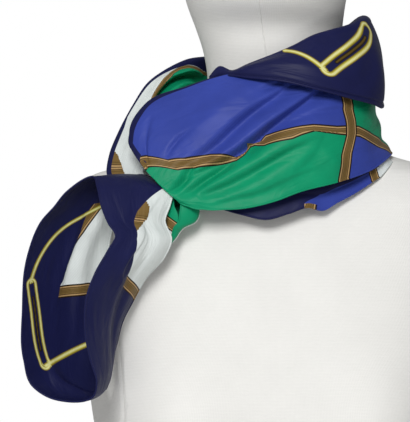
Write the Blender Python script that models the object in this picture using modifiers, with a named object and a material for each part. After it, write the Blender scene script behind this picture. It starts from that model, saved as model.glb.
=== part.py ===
"""A silk square scarf, wound and knotted round the neck of a limbless dress form.

Metres, +Z up. The form faces -Y, its right side is at -X, and it stands on the flat
underside of its torso, whose middle is the origin. Every table below is in millimetres.
"""

from collections import namedtuple

import bmesh
import bpy
import numpy as np
from mathutils import Matrix, Vector

MM = 0.001

CLOTH_WALL = 1.2 * MM
GAP = 0.3 * MM

# The form: flat plates close its armholes, turned a little to the front.
FORM_SIDES = 44
FORM_RINGS = 46
ARM_PLATE_TURN = np.radians(20)
ARM_PLATE_DISTANCE = 141.3
ARM_PLATE_WALL = 2.5
ARM_PLATE_FLOOR = 100
BUST = {"x": 82, "z": 158, "reach": 15, "width": 44, "height": 52}

# Neck axis that the wound cloth turns about, and the facets of a turned top.
NECK_AXIS = np.array([0.0, 8.0])
ROLL_STEPS = 3
CREST_SHARE = 0.12
LEAF_FLARE = 0.1

Ring = namedtuple("Ring", "z middle half_width front back roundness")
FORM_TABLE = (
    Ring(0, 0, 116, 86, 80, 2.3),
    Ring(60, 0, 124, 95, 83, 2.35),
    Ring(110, 0, 137, 105, 86, 2.5),
    Ring(150, 0, 147, 111, 89, 2.7),
    Ring(190, 0, 153, 107, 94, 2.55),
    Ring(230, 0, 158, 99, 98, 2.4),
    Ring(300, 0, 171, 80, 95, 2.3),
    Ring(330, 0, 170, 70, 88, 2.3),
    Ring(348, 0, 154, 60, 80, 2.2),
    Ring(360, 0, 118, 55, 75, 2.1),
    Ring(372, 0, 84, 53, 71, 2.0),
    Ring(392, 0, 63, 53, 67, 2.0),
    Ring(412, 0, 56, 53, 64, 2.0),
    Ring(450, -2, 56, 57, 62, 2.0),
    Ring(472, -5, 60, 66, 65, 2.0),
    Ring(488, -7, 64, 88, 71, 2.0),
    Ring(510, -8, 69, 97, 82, 2.0),
    Ring(560, -8, 77, 99, 97, 2.0),
    Ring(610, -8, 78, 93, 97, 2.0),
    Ring(650, -8, 64, 74, 80, 2.0),
    Ring(674, -8, 36, 42, 44, 2.0),
    Ring(682, -8, 6, 8, 8, 2.0),
)

# A section of cloth runs from its low edge to its high edge. It bows outward by bulge,
# turns over at the top with radius roll, and hangs back down inside by leaf.
Section = namedtuple("Section", "low high bulge roll leaf")
NECK_WRAP_TABLE = (
    Section((-86, -92, 341), (-92, -90, 346), 1, 1.5, 1),
    Section((-79, -96, 331), (-104, -87, 358), 4, 2, 3),
    Section((-69, -99, 325.5), (-115, -77, 370), 8, 2.5, 8),
    Section((-57, -100, 323.5), (-118, -67, 385), 11, 3, 12),
    Section((-42, -101, 323.5), (-106, -61, 407), 13, 3, 14),
    Section((-24, -101, 325), (-71, -64, 422), 14, 3, 14),
    Section((-3, -100, 330), (-40, -69, 431), 14, 3, 14),
    Section((19, -96, 338), (-4, -73, 434), 13, 3, 14),
    Section((47, -86, 345), (30, -67, 438), 10, 3, 14),
    Section((73, -66, 354), (57, -51, 442), 4, 3, 14),
    Section((91, -34, 366), (74, -23, 446), -3, 3, 14),
    Section((94.5, 4, 370), (76.5, 6, 448), -5, 3, 14),
    Section((87, 46, 367), (70, 44, 448), -2, 3, 14),
    Section((60, 77, 363), (49, 65, 448), 4, 3, 14),
    Section((18, 89, 361), (16, 76, 448), 5, 3, 14),
)
COLLAR_FLAP_TABLE = (
    Section((-50, -62, 433), (-48, -61, 438), 1, 1.5, 1),
    Section((-37, -72, 430.5), (-34, -66, 439), 2, 2, 2),
    Section((-22, -80, 428.5), (-20, -69, 442), 4, 2.5, 3),
    Section((6, -89, 424), (-2, -71, 448), 5, 3, 4),
    Section((35, -89, 417), (14, -71, 455), 6, 3.5, 5),
    Section((60, -78, 411), (30, -67, 463), 7, 4, 8),
    Section((76, -64, 407.5), (45, -63, 470), 9, 5, 11),
    Section((84, -46, 405), (60, -53, 475), 10, 5.5, 12),
    Section((86, -20, 413), (70, -31, 479), 9, 6, 11),
    Section((84, 8, 427), (70, 2, 481), 8, 6, 11),
    Section((78, 40, 438), (61, 36, 475), 6, 4, 11),
    Section((57, 66, 444), (41, 58, 465), 4, 3, 7),
    Section((25, 81, 450), (17, 74, 456), 1, 1.5, 1),
)
UNDER_WRAP_TABLE = (
    Section((-58, -88, 331), (-60, -84, 352), 0, 0, 0),
    Section((-42, -91, 323.5), (-45, -86, 348), 0, 0, 0),
    Section((-26, -92, 319), (-28, -87, 346), 0, 0, 0),
    Section((-9, -92, 315.6), (-10, -87, 346), 0, 0, 0),
    Section((8, -90, 320), (7, -85, 348), 0, 0, 0),
    Section((24, -87, 325), (22, -81, 350), 0, 0, 0),
    Section((36, -82, 322.5), (33, -76, 354), 0, 0, 0),
    Section((59, -71, 335), (55, -64, 358), 0, 0, 0),
    Section((76, -60, 347), (72, -55, 364), 0, 0, 0),
    Section((85, -51, 355), (81, -45, 369), 0, 0, 0),
)
SHOULDER_STRIP_TABLE = (
    Section((17.5, 89, 361), (15.5, 76, 448), 5, 3, 40),
    Section((-20, 88, 362), (-16, 77, 450), 4, 3, 40),
    Section((-50, 74, 371), (-39, 63, 450), 1, 3, 40),
    Section((-66, 48, 386), (-56, 40, 449), 0, 3, 38),
    Section((-70, 22, 394), (-71, 22, 446), 0, 3, 35),
    Section((-77, 2, 396), (-88, 8, 438), 0, 3, 33),
    Section((-86, -16, 388), (-103, -3, 427), 0, 3, 31),
    Section((-92, -32, 378), (-116, -14, 408), 0, 3, 27),
    Section((-98, -44, 368), (-127, -27, 387), 0, 3, 22),
    Section((-102, -52, 361), (-134, -42, 368), 0, 2.5, 15),
    Section((-106, -58, 353), (-135, -57, 352), 0, 2, 4),
)

# The hanging loop is a band closed on itself: a row gives its near and its far edge.
# It starts at the crown beside the knot, goes down the outer side and comes up in front.
Station = namedtuple("Station", "near far bulge")
TAIL_LOOP_TABLE = (
    Station((-144, -98, 349), (-90, -84, 342), 2),
    Station((-154, -97, 346), (-104, -68, 345), 3),
    Station((-164, -98, 338), (-112, -60, 343), 4),
    Station((-175, -99, 325), (-122, -59, 331), 5),
    Station((-186, -100, 312), (-130, -62, 310), 6),
    Station((-196, -101, 285), (-135, -63, 284), 6),
    Station((-199.5, -101, 245), (-137, -63, 243), 6),
    Station((-198.5, -102, 206), (-139, -65, 207), 6),
    Station((-191, -106, 185), (-140, -67, 189), 4),
    Station((-177, -112, 176.5), (-138, -70, 182), 3),
    Station((-156, -120, 174), (-135, -74, 182), 3),
    Station((-144, -128, 178), (-132, -78, 191), 4),
    Station((-140.5, -133, 190), (-130, -81, 204), 5),
    Station((-145, -136, 207), (-126, -83, 220), 5),
    Station((-149, -138, 227), (-122, -85, 235), 5),
    Station((-149, -138, 250), (-115, -88, 249), 5),
    Station((-142, -137, 273), (-103, -91, 270), 5),
    Station((-132, -133, 291), (-92, -95, 287), 5),
    Station((-126, -128, 303), (-87, -98, 299), 4),
    Station((-132, -124, 313), (-88, -97, 315), 3),
    Station((-137, -118, 325), (-88, -94, 327), 3),
    Station((-141, -108, 340), (-88, -89, 337), 2),
)

# A crease is a soft trough along a bent line. Its start, bend and end are fractions
# of the cloth's length and of its width; depth and width are in millimetres.
Crease = namedtuple("Crease", "start bend end depth width")
NECK_WRAP_CREASES = (
    Crease((0.03, 0.32), (0.20, 0.38), (0.41, 0.80), 5.0, 7),
    Crease((0.08, 0.14), (0.21, 0.21), (0.33, 0.34), 2.5, 6),
    Crease((0.50, 0.24), (0.64, 0.42), (0.83, 0.46), 4.0, 8),
    Crease((0.60, 0.70), (0.77, 0.72), (0.95, 0.60), 3.0, 7),
)
SHOULDER_STRIP_CREASES = (
    Crease((0.03, 0.35), (0.20, 0.50), (0.42, 0.48), 3.0, 8),
    Crease((0.45, 0.30), (0.60, 0.45), (0.80, 0.40), 2.5, 8),
)
TAIL_LOOP_CREASES = (
    Crease((0.10, 0.86), (0.22, 0.72), (0.38, 0.70), 4.0, 8),
    Crease((0.55, 0.62), (0.70, 0.66), (0.93, 0.55), 3.0, 6),
)

# The loose end is a scroll: a level is an oval that starts at the left, passes behind
# and round the right side, and stops in front.
Level = namedtuple("Level", "z left right depth y")
TAIL_CURL_TABLE = (
    Level(326, -87, -63, 17, -85),
    Level(321, -88.5, -63, 17, -87),
    Level(316.5, -88.5, -67, 14, -88),
    Level(312, -87.5, -73, 10, -89),
    Level(305.5, -85.5, -78, 6, -90),
    Level(299, -84.5, -81.5, 3, -90),
)
CURL_START = np.radians(195)
CURL_SWEEP = np.radians(-300)

KNOT = {"middle": (-76, -76, 344), "reach": (11.5, 11.5, 9.5), "folds": 7, "fold_depth": 0.07}


def colour(name, red_green_blue, roughness):
    material = bpy.data.materials.new(name)
    material.use_nodes = True
    shader = material.node_tree.nodes["Principled BSDF"]
    shader.inputs["Base Color"].default_value = (*red_green_blue, 1)
    shader.inputs["Roughness"].default_value = roughness
    shader.inputs["Metallic"].default_value = 0
    return material


def numbers(table):
    """The table as one row of plain numbers for each of its entries."""
    return np.array([np.hstack(row) for row in table], float)


def read_smoothly(rows, knots, at):
    """The rows read at any place along them, on cubic arcs that pass through each row."""
    slopes = np.gradient(rows, knots, axis=0)
    first = np.clip(np.searchsorted(knots, at, side="right") - 1, 0, len(knots) - 2)
    span = (knots[first + 1] - knots[first])[:, None]
    x = (at - knots[first])[:, None] / span
    return (
        (1 + 2 * x) * (1 - x) ** 2 * rows[first]
        + x * (1 - x) ** 2 * span * slopes[first]
        + x**2 * (3 - 2 * x) * rows[first + 1]
        + x**2 * (x - 1) * span * slopes[first + 1]
    )


def stations(table, count, closed=False):
    """The table read at count stations, evenly spaced along the middle of the cloth."""
    rows = numbers(table)
    if closed:
        rows = np.vstack([rows[-3:], rows, rows[:3]])
    middle = (rows[:, :3] + rows[:, 3:6]) / 2
    steps = np.linalg.norm(np.diff(middle, axis=0), axis=1)
    knots = np.concatenate([[0], np.cumsum(steps)])
    if not closed:
        return read_smoothly(rows, knots, np.linspace(0, knots[-1], count))
    start, end = knots[3], knots[3 + len(table)]
    return read_smoothly(rows, knots, np.linspace(start, end, count, endpoint=False))


def unit(vectors):
    return vectors / np.linalg.norm(vectors, axis=-1, keepdims=True)


def outward_of(low, high, around_neck):
    """Unit directions square to each section, on the side away from the neck."""
    rise = unit(high - low)
    middle = (low + high) / 2
    if around_neck:
        away = middle * (1, 1, 0)
        away[:, :2] -= NECK_AXIS
        away -= (away * rise).sum(1, keepdims=True) * rise
    else:
        away = np.cross(np.gradient(middle, axis=0), rise)
    return rise, unit(away)


def troughs(creases, u, v, length, width):
    """Depth of all creases at (u, v): depth sin(pi t) exp(-(distance / width)^2).

    The distance is to the nearest place t on the crease's line, in millimetres.
    """
    t = np.linspace(0, 1, 33)[:, None]
    total = np.zeros(np.broadcast_shapes(u.shape, v.shape))
    for crease in creases:
        start, bend, end = (np.array(p) for p in (crease.start, crease.bend, crease.end))
        line = (1 - t) ** 2 * start + 2 * t * (1 - t) * bend + t**2 * end
        away = np.hypot((u[..., None] - line[:, 0]) * length, (v[..., None] - line[:, 1]) * width)
        nearest = away.argmin(axis=-1)
        strength = np.sin(np.pi * t[nearest, 0])
        total += crease.depth * strength * np.exp(-((away.min(axis=-1) / crease.width) ** 2))
    return total[..., None]


def wound_cloth(table, along, up, creases=(), leaf_side=-1, around_neck=True, leaf_steps=1):
    """Points of a stretch wound round the neck: wall, turned top and hanging leaf.

    Wall: low + (crest - low) v + outward (bulge 4 v (1 - v) - troughs), v from 0 to 1.
    The leaf hangs inside the wall where leaf_side is -1, outside and steeper where 1.
    """
    rows = stations(table, along)
    low, high = rows[:, :3], rows[:, 3:6]
    bulge, roll, leaf = (rows[:, i, None, None] for i in (6, 7, 8))
    rise, outward = outward_of(low, high, around_neck)
    low, high, rise, outward = (a[:, None, :] for a in (low, high, rise, outward))

    crest = high - rise * roll
    v = np.linspace(0, 1, up)[None, :, None]
    length = np.linalg.norm(np.diff((low + high) / 2, axis=0), axis=2).sum()
    width = np.linalg.norm(high - low, axis=2).mean()
    u = np.linspace(0, 1, along)[:, None]
    sunk = troughs(creases, u, v[..., 0], length, width) * np.clip((1 - v) / CREST_SHARE, 0, 1)
    wall = low + (crest - low) * v + outward * (bulge * 4 * v * (1 - v) - sunk)
    if rows[:, 7].max() == 0:
        return wall
    side = outward * leaf_side
    turn = np.linspace(0, np.pi, ROLL_STEPS + 1)[None, 1:, None]
    over = crest + side * roll * (1 - np.cos(turn)) + rise * roll * np.sin(turn)
    fall = rise if leaf_side < 0 else unit(rise + (0, 0, 1))
    down = np.linspace(0, 1, leaf_steps + 1)[None, 1:, None] * leaf
    inside = crest + side * (2 * roll + LEAF_FLARE * down) - fall * down
    return np.concatenate([wall, over, inside], axis=1)


def band_loop(table, along, across, creases):
    """Points of the loop: near + (far - near) v + outward (bulge 4 v (1 - v) - troughs)."""
    rows = stations(table, along, closed=True)
    near, far, bulge = rows[:, :3], rows[:, 3:6], rows[:, 6, None, None]
    middle = (near + far) / 2
    travel = np.roll(middle, -1, axis=0) - np.roll(middle, 1, axis=0)
    outward = unit(np.cross(far - near, travel))[:, None, :]
    v = np.linspace(0, 1, across)[None, :, None]
    length = np.linalg.norm(travel, axis=1).sum() / 2
    width = np.linalg.norm(far - near, axis=1).mean()
    u = np.linspace(0, 1, along, endpoint=False)[:, None]
    sunk = troughs(creases, u, v[..., 0], length, width)
    bow = outward * (bulge * 4 * v * (1 - v) - sunk)
    return near[:, None] + (far - near)[:, None] * v + bow


def scroll(table, levels, around):
    """Points of the curled end: an oval arc at each level."""
    rows = numbers(table)
    at = np.linspace(rows[0, 0], rows[-1, 0], levels)
    rows = read_smoothly(rows[::-1], rows[::-1, 0], at[::-1])[::-1]
    z, left, right, depth, y = (rows[:, i, None] for i in range(5))
    angle = CURL_START + CURL_SWEEP * np.linspace(0, 1, around)[None, :]
    across = (left + right) / 2 + (right - left) / 2 * np.cos(angle)
    back = y + depth / 2 * np.sin(angle)
    return np.stack([across, back, np.broadcast_to(z, across.shape)], axis=2)


def mesh_of(name, points, faces):
    mesh = bpy.data.meshes.new(name)
    mesh.from_pydata(points.tolist(), [], faces)
    mesh.update()
    return mesh


def place(name, mesh, material, collection):
    piece = bpy.data.objects.new(name, mesh)
    mesh.materials.append(material)
    collection.objects.link(piece)
    mesh.shade_smooth()
    mesh.set_sharp_from_angle(angle=np.radians(50))
    return piece


def cloth(name, grid, material, collection, closed=False):
    """A wall of cloth on an open grid of points in millimetres, given its thickness."""
    long, wide = grid.shape[:2]
    rows = long if closed else long - 1
    faces = [
        (
            i * wide + j,
            (i + 1) % long * wide + j,
            (i + 1) % long * wide + j + 1,
            i * wide + j + 1,
        )
        for i in range(rows)
        for j in range(wide - 1)
    ]
    piece = place(name, mesh_of(name, grid.reshape(-1, 3) * MM, faces), material, collection)
    wall = piece.modifiers.new("Wall", "SOLIDIFY")
    wall.thickness = CLOTH_WALL
    wall.offset = 0
    wall.use_even_offset = False
    return piece


def form_shape(inset=0.0):
    """The whole form as a closed mesh: rings of the table, crown and base closed."""
    rows = numbers(FORM_TABLE)
    share = np.linspace(0, 1, FORM_RINGS)
    spacing = np.concatenate([[0], np.cumsum(np.hypot(np.diff(rows[:, 0]), np.diff(rows[:, 2])))])
    rows = read_smoothly(rows, spacing, share * spacing[-1])
    z, middle, half_width, front, back, roundness = (rows[:, i, None] for i in range(6))
    angle = np.linspace(0, 2 * np.pi, FORM_SIDES, endpoint=False)[None, :]
    cosine, sine = np.cos(angle), np.sin(angle)
    rounding = 2 / roundness
    x = middle + (half_width - inset) * np.sign(cosine) * abs(cosine) ** rounding
    depth = np.where(sine < 0, front, back) - inset
    y = depth * np.sign(sine) * abs(sine) ** rounding
    cup = np.exp(-(((abs(x) - BUST["x"]) / BUST["width"]) ** 2) - ((z - BUST["z"]) / BUST["height"]) ** 2)
    y = y - BUST["reach"] * cup * np.clip(-sine, 0, 1)
    points = np.stack([x, y, np.broadcast_to(z, x.shape)], axis=2)

    mesh = bpy.data.meshes.new("form")
    shell = bmesh.new()
    vertices = [[shell.verts.new(Vector(p) * MM) for p in ring] for ring in points]
    for below, above in zip(vertices, vertices[1:]):
        for i in range(FORM_SIDES):
            j = (i + 1) % FORM_SIDES
            shell.faces.new((below[i], below[j], above[j], above[i]))
    shell.faces.new(vertices[0][::-1])
    shell.faces.new(vertices[-1])
    shell.to_mesh(mesh)
    shell.free()
    return mesh


def slab(name, side, near, far, cutters):
    """A guide block square to an armhole, from near to far along the armhole's axis."""
    shape = bmesh.new()
    bmesh.ops.create_cube(shape, size=1)
    size = ((far - near) * MM, 0.4, 0.4)
    turn = np.arctan2(-np.sin(ARM_PLATE_TURN), side * np.cos(ARM_PLATE_TURN))
    height = (ARM_PLATE_FLOOR + 200) * MM
    move = Matrix.Rotation(turn, 4, "Z") @ Matrix.Translation(((near + far) / 2 * MM, 0, height))
    bmesh.ops.transform(shape, matrix=move @ Matrix.Diagonal((*size, 1)), verts=shape.verts)
    mesh = bpy.data.meshes.new(name)
    shape.to_mesh(mesh)
    shape.free()
    block = bpy.data.objects.new(name, mesh)
    block.hide_render = True
    block.display_type = "WIRE"
    cutters.objects.link(block)
    return block


def cut(piece, cutter, operation):
    step = piece.modifiers.new(cutter.name, "BOOLEAN")
    step.operation = operation
    step.object = cutter
    step.solver = "EXACT"


def build_form(collection, cutters, linen):
    """The torso with neck and head, and a flat plate set in each armhole."""
    body = place("form_body", form_shape(), linen, collection)
    for side, label in ((-1, "right"), (1, "left")):
        beyond = slab(f"beyond_{label}", side, ARM_PLATE_DISTANCE, ARM_PLATE_DISTANCE + 90, cutters)
        cut(body, beyond, "DIFFERENCE")
        near = ARM_PLATE_DISTANCE + GAP / MM
        plate = place(f"form_arm_plate_{label}", form_shape(inset=1.5), linen, collection)
        cut(plate, slab(f"plate_{label}", side, near, near + ARM_PLATE_WALL, cutters), "INTERSECT")


def build_knot(collection, silk):
    """A small bundle of gathered cloth: an ellipsoid fluted along its length."""
    shape = bmesh.new()
    bmesh.ops.create_uvsphere(shape, u_segments=28, v_segments=9, radius=1)
    for vertex in shape.verts:
        x, y, z = vertex.co
        flute = 1 + KNOT["fold_depth"] * np.cos(KNOT["folds"] * np.arctan2(y, x))
        vertex.co = (x * flute, y * flute, z)
    bmesh.ops.scale(shape, vec=Vector(KNOT["reach"]) * MM, verts=shape.verts)
    bmesh.ops.translate(shape, vec=Vector(KNOT["middle"]) * MM, verts=shape.verts)
    mesh = bpy.data.meshes.new("knot")
    shape.to_mesh(mesh)
    shape.free()
    place("knot", mesh, silk, collection)


def main():
    for old in list(bpy.data.objects):
        bpy.data.objects.remove(old)
    collection = bpy.data.collections.new("silk_square_scarf_on_dress_form")
    cutters = bpy.data.collections.new("cutters")
    bpy.context.scene.collection.children.link(collection)
    bpy.context.scene.collection.children.link(cutters)

    linen = colour("linen", (0.80, 0.79, 0.77), 0.9)
    green_silk = colour("green silk", (0.01, 0.35, 0.14), 0.4)
    blue_silk = colour("blue silk", (0.06, 0.07, 0.38), 0.4)
    navy_silk = colour("navy silk", (0.015, 0.015, 0.07), 0.4)
    white_silk = colour("white silk", (0.72, 0.78, 0.78), 0.4)

    build_form(collection, cutters, linen)
    wrap = wound_cloth(NECK_WRAP_TABLE, 46, 12, NECK_WRAP_CREASES)
    cloth("neck_wrap", wrap, blue_silk, collection)
    cloth("collar_flap", wound_cloth(COLLAR_FLAP_TABLE, 28, 7), navy_silk, collection)
    cloth("under_wrap", wound_cloth(UNDER_WRAP_TABLE, 24, 4), navy_silk, collection)
    strip = wound_cloth(SHOULDER_STRIP_TABLE, 28, 8, SHOULDER_STRIP_CREASES, 1, False, 2)
    cloth("shoulder_strip", strip, white_silk, collection)
    loop = band_loop(TAIL_LOOP_TABLE, 54, 10, TAIL_LOOP_CREASES)
    cloth("tail_loop", loop, navy_silk, collection, closed=True)
    cloth("tail_curl", scroll(TAIL_CURL_TABLE, 10, 18), green_silk, collection)
    build_knot(collection, green_silk)


main()
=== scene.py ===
import bpy
import numpy as np
from mathutils import Matrix


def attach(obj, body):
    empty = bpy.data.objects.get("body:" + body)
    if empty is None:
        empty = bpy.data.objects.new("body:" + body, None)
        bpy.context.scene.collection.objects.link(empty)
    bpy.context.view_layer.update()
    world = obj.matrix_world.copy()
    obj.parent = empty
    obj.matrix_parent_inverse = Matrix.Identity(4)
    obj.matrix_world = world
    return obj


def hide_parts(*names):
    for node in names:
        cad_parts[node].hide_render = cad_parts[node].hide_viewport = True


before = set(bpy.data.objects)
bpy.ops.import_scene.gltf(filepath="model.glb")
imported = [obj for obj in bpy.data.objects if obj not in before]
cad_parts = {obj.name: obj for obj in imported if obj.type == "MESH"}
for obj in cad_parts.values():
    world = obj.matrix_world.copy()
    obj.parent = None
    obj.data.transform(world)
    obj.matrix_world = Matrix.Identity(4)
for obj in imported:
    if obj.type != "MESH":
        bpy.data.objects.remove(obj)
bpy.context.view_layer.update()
mm = 0.001


def readSmoothly(rows, knots, at):
    # cubic arcs through the rows: each arc leaves a row along the mean slope of its neighbours
    slopes = np.gradient(rows, knots, axis=0)
    first = np.clip(np.searchsorted(knots, at, side="right") - 1, 0, len(knots) - 2)
    span = (knots[first + 1] - knots[first])[:, None]
    x = (at - knots[first])[:, None] / span
    return (
        (1 + 2 * x) * (1 - x) ** 2 * rows[first]
        + x * (1 - x) ** 2 * span * slopes[first]
        + x**2 * (3 - 2 * x) * rows[first + 1]
        + x**2 * (x - 1) * span * slopes[first + 1]
    )


def sectionsAlong(table, count, closed=False):
    # the table's rows read at even steps along the line through the middles of its sections
    rows = np.array([np.hstack(row) for row in table], float)
    if closed:
        rows = np.vstack([rows[-3:], rows, rows[:3]])
    middle = (rows[:, :3] + rows[:, 3:6]) / 2
    knots = np.concatenate([[0], np.cumsum(np.linalg.norm(np.diff(middle, axis=0), axis=1))])
    if not closed:
        return readSmoothly(rows, knots, np.linspace(0, knots[-1], count))
    start, end = knots[3], knots[3 + len(table)]
    return readSmoothly(rows, knots, np.linspace(start, end, count, endpoint=False))


def readTable(table, at, column=1):
    # a column of the table, read straight between its rows at places in the first column
    rows = np.array(table, float)
    return np.interp(at, rows[:, 0], rows[:, column])


def unit(vectors):
    return vectors / np.linalg.norm(vectors, axis=-1, keepdims=True)


def lineField(path, u, v, length, width, samples=97):
    # signed distance in mm from each (u, v) to a smooth line through the path's points, left of
    # its run positive, and the share t of the line at the nearest place
    path = np.array(path, float)
    knots = np.linspace(0, 1, len(path))
    t = np.linspace(0, 1, samples)
    line = readSmoothly(path, knots, t)
    run = unit(np.gradient(line, axis=0) * (length, width.mean()))
    du = (u[..., None] - line[:, 0]) * length
    dv = (v[..., None] - line[:, 1]) * width[..., None]
    away = np.hypot(du, dv)
    nearest = away.argmin(axis=-1)
    side = np.take_along_axis(run[:, 0] * dv - run[:, 1] * du, nearest[..., None], -1)[..., 0]
    ends = (nearest == 0) | (nearest == samples - 1)
    return np.where(ends, np.where(side < 0, -1, 1) * away.min(axis=-1), side), t[nearest]


def foldDepth(folds, u, v, length, width):
    # sum over the folds of depth sin(pi t) exp(-(distance / reach)^2), with its own reach on
    # the left and on the right of each fold line, so that a fold can lap over on one side
    total = np.zeros(u.shape)
    for path, depth, left, right in folds:
        away, t = lineField(path, u, v, length, width)
        reach = np.where(away > 0, left, right)
        total += depth * np.sin(np.pi * t) * np.exp(-((away / reach) ** 2))
    return total


def woundCloth(piece):
    # wall: low + (crest - low) v + outward (4 bulge v (1 - v) - folds); over the crest a half
    # turn of radius roll; then a leaf that hangs beside the wall
    along, up, rollSteps, leafSteps = piece["steps"]
    rows = sectionsAlong(piece["sections"], along)
    low, high = rows[:, :3], rows[:, 3:6]
    bulge, roll, leaf = (rows[:, i, None, None] for i in (6, 7, 8))
    rise = unit(high - low)
    middle = (low + high) / 2
    if piece["leafSide"] < 0:
        away = middle * (1, 1, 0)
        away[:, :2] -= neckAxis
        away -= (away * rise).sum(1, keepdims=True) * rise
    else:
        away = np.cross(np.gradient(middle, axis=0), rise)
    outward = unit(away)
    low, high, rise, outward = (a[:, None, :] for a in (low, high, rise, outward))
    crest = high - rise * roll

    wide = np.linalg.norm(crest - low, axis=2)
    length = np.linalg.norm(np.diff(middle, axis=0), axis=1).sum()
    u = np.linspace(0, 1, along)[:, None] * np.ones((1, up))
    v = np.linspace(0, 1, up)[None, :] * np.ones((along, 1))
    sunk = foldDepth(piece["folds"], u, v, length, wide * np.ones_like(v))
    sunk = (sunk * np.clip((1 - v) / 0.1, 0, 1))[..., None]
    v3 = v[..., None]
    wall = low + (crest - low) * v3 + outward * (bulge * 4 * v3 * (1 - v3) - sunk)
    parts, beyond = [wall], [np.zeros_like(v)]
    if rollSteps:
        side = outward * piece["leafSide"]
        turn = np.linspace(0, np.pi, rollSteps + 1)[None, 1:, None]
        parts.append(crest + side * roll * (1 - np.cos(turn)) + rise * roll * np.sin(turn))
        beyond.append((roll * turn)[..., 0])
        fall = rise if piece["leafSide"] < 0 else unit(rise + np.array((0, 0, 1)))
        down = np.linspace(0, 1, leafSteps + 1)[None, 1:, None] * leaf
        parts.append(crest + side * (2 * roll + 0.1 * down) - fall * down)
        beyond.append((roll * np.pi + down)[..., 0])
    points = np.concatenate(parts, axis=1)
    beyond = np.concatenate(beyond, axis=1)
    u = u[:, :1] * np.ones_like(beyond)
    v = np.concatenate([v, 1 + beyond[:, up:] / wide], axis=1)
    return points, u, v, length, wide * np.ones_like(v)


def loopCloth(piece):
    # near + (far - near) v + outward (4 bulge v (1 - v) - folds), closed along its length
    along, across = piece["steps"]
    rows = sectionsAlong(piece["sections"], along, closed=True)
    near, far, bulge = rows[:, :3], rows[:, 3:6], rows[:, 6, None, None]
    middle = (near + far) / 2
    travel = np.roll(middle, -1, axis=0) - np.roll(middle, 1, axis=0)
    outward = unit(np.cross(far - near, travel))[:, None, :]
    length = np.linalg.norm(travel, axis=1).sum() / 2
    u = np.linspace(0, 1, along, endpoint=False)[:, None] * np.ones((1, across))
    v = np.linspace(0, 1, across)[None, :] * np.ones((along, 1))
    wide = np.linalg.norm(far - near, axis=1)[:, None] * np.ones_like(v)
    bow = 4 * bulge * (v * (1 - v))[..., None] - foldDepth(piece["folds"], u, v, length, wide)[..., None]
    points = near[:, None] + (far - near)[:, None] * v[..., None] + outward * bow
    return points, u, v, length, wide


def scrollCloth(piece):
    # an oval arc at each level: middle + half width cos(angle), y + half depth sin(angle), from
    # the level's start angle round to the end angle, where the last quarter laps over the first
    levels, around = piece["steps"]
    rows = np.array(piece["sections"], float)
    at = np.linspace(rows[0, 0], rows[-1, 0], levels)
    rows = readSmoothly(rows[::-1], rows[::-1, 0], at[::-1])[::-1]
    z, left, right, depth, y, start = (rows[:, i, None] for i in range(6))
    turn = np.linspace(0, 1, around)[None, :]
    angle = np.radians(start + (piece["end"] - start) * turn)
    across = (left + right) / 2 + (right - left) / 2 * np.cos(angle)
    back = y + depth / 2 * np.sin(angle) - piece["lap"] * turn**4
    points = np.stack([across, back, np.broadcast_to(z, across.shape)], axis=2)
    u = turn * np.ones_like(across)
    v = (rows[0, 0] - z) / (rows[0, 0] - rows[-1, 0]) * np.ones_like(across)
    return points, u, v, 60.0, np.full_like(across, 27.0)


def gridFaces(rows, columns, closed=False, flip=False):
    # four corners of every cell of a grid, row by row
    i, j = np.meshgrid(np.arange(rows if closed else rows - 1), np.arange(columns - 1), indexing="ij")
    k = (i + 1) % rows
    faces = np.stack([i * columns + j, k * columns + j, k * columns + j + 1, i * columns + j + 1], axis=-1)
    faces = faces.reshape(-1, 4)
    return faces[:, ::-1] if flip else faces


def makeMesh(name, points, faces, maps={}, fields={}):
    # points in mm and lists of face corners; maps are UV maps with a pair for each point
    mesh = bpy.data.meshes.new(name)
    mesh.from_pydata((points.reshape(-1, 3) * mm).tolist(), [], faces)
    corners = np.zeros(len(mesh.loops), np.int32)
    mesh.loops.foreach_get("vertex_index", corners)
    for mapName, pairs in maps.items():
        layer = mesh.uv_layers.new(name=mapName)
        layer.uv.foreach_set("vector", pairs.reshape(-1, 2)[corners].astype(np.float32).ravel())
    for fieldName, values in fields.items():
        attribute = mesh.attributes.new(fieldName, "FLOAT", "POINT")
        attribute.data.foreach_set("value", values.astype(np.float32).ravel())
    mesh.update()
    return mesh


def placePiece(name, mesh, material, sharpAngle=60):
    piece = bpy.data.objects.new(name, mesh)
    mesh.materials.append(material)
    bpy.context.scene.collection.objects.link(piece)
    mesh.shade_smooth()
    mesh.set_sharp_from_angle(angle=np.radians(sharpAngle))
    return piece


def finishPiece(piece, nodes):
    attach(piece, "root")
    if nodes:
        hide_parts(*nodes)
    return piece


def linearColour(code):
    # sRGB to linear light: value / 12.92 near black, else ((value + 0.055) / 1.055) ** 2.4
    value = np.array([int(code[i : i + 2], 16) for i in (0, 2, 4)]) / 255
    value = np.where(value < 0.04045, value / 12.92, ((value + 0.055) / 1.055) ** 2.4)
    return (*value.tolist(), 1.0)


def addNode(tree, kind, inputs=(), stops=(), **settings):
    # adds a node, sets its settings and colour stops, and gives each input a value or a link; a
    # node given as an input stands for its first output
    node = tree.nodes.new(kind)
    for name, value in settings.items():
        setattr(node, name, value)
    for i, (at, code) in enumerate(stops):
        stop = node.color_ramp.elements[i] if i < 2 else node.color_ramp.elements.new(at)
        stop.position = at
        stop.color = linearColour(code)
    for slot, value in inputs.items() if isinstance(inputs, dict) else enumerate(inputs):
        if isinstance(value, bpy.types.Node):
            value = value.outputs[0]
        if isinstance(value, bpy.types.NodeSocket):
            tree.links.new(value, node.inputs[slot])
        else:
            node.inputs[slot].default_value = value
    return node


def newMaterial(name):
    material = bpy.data.materials.new(name)
    material.use_nodes = True
    tree = material.node_tree
    return material, tree, tree.nodes["Principled BSDF"]


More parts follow.
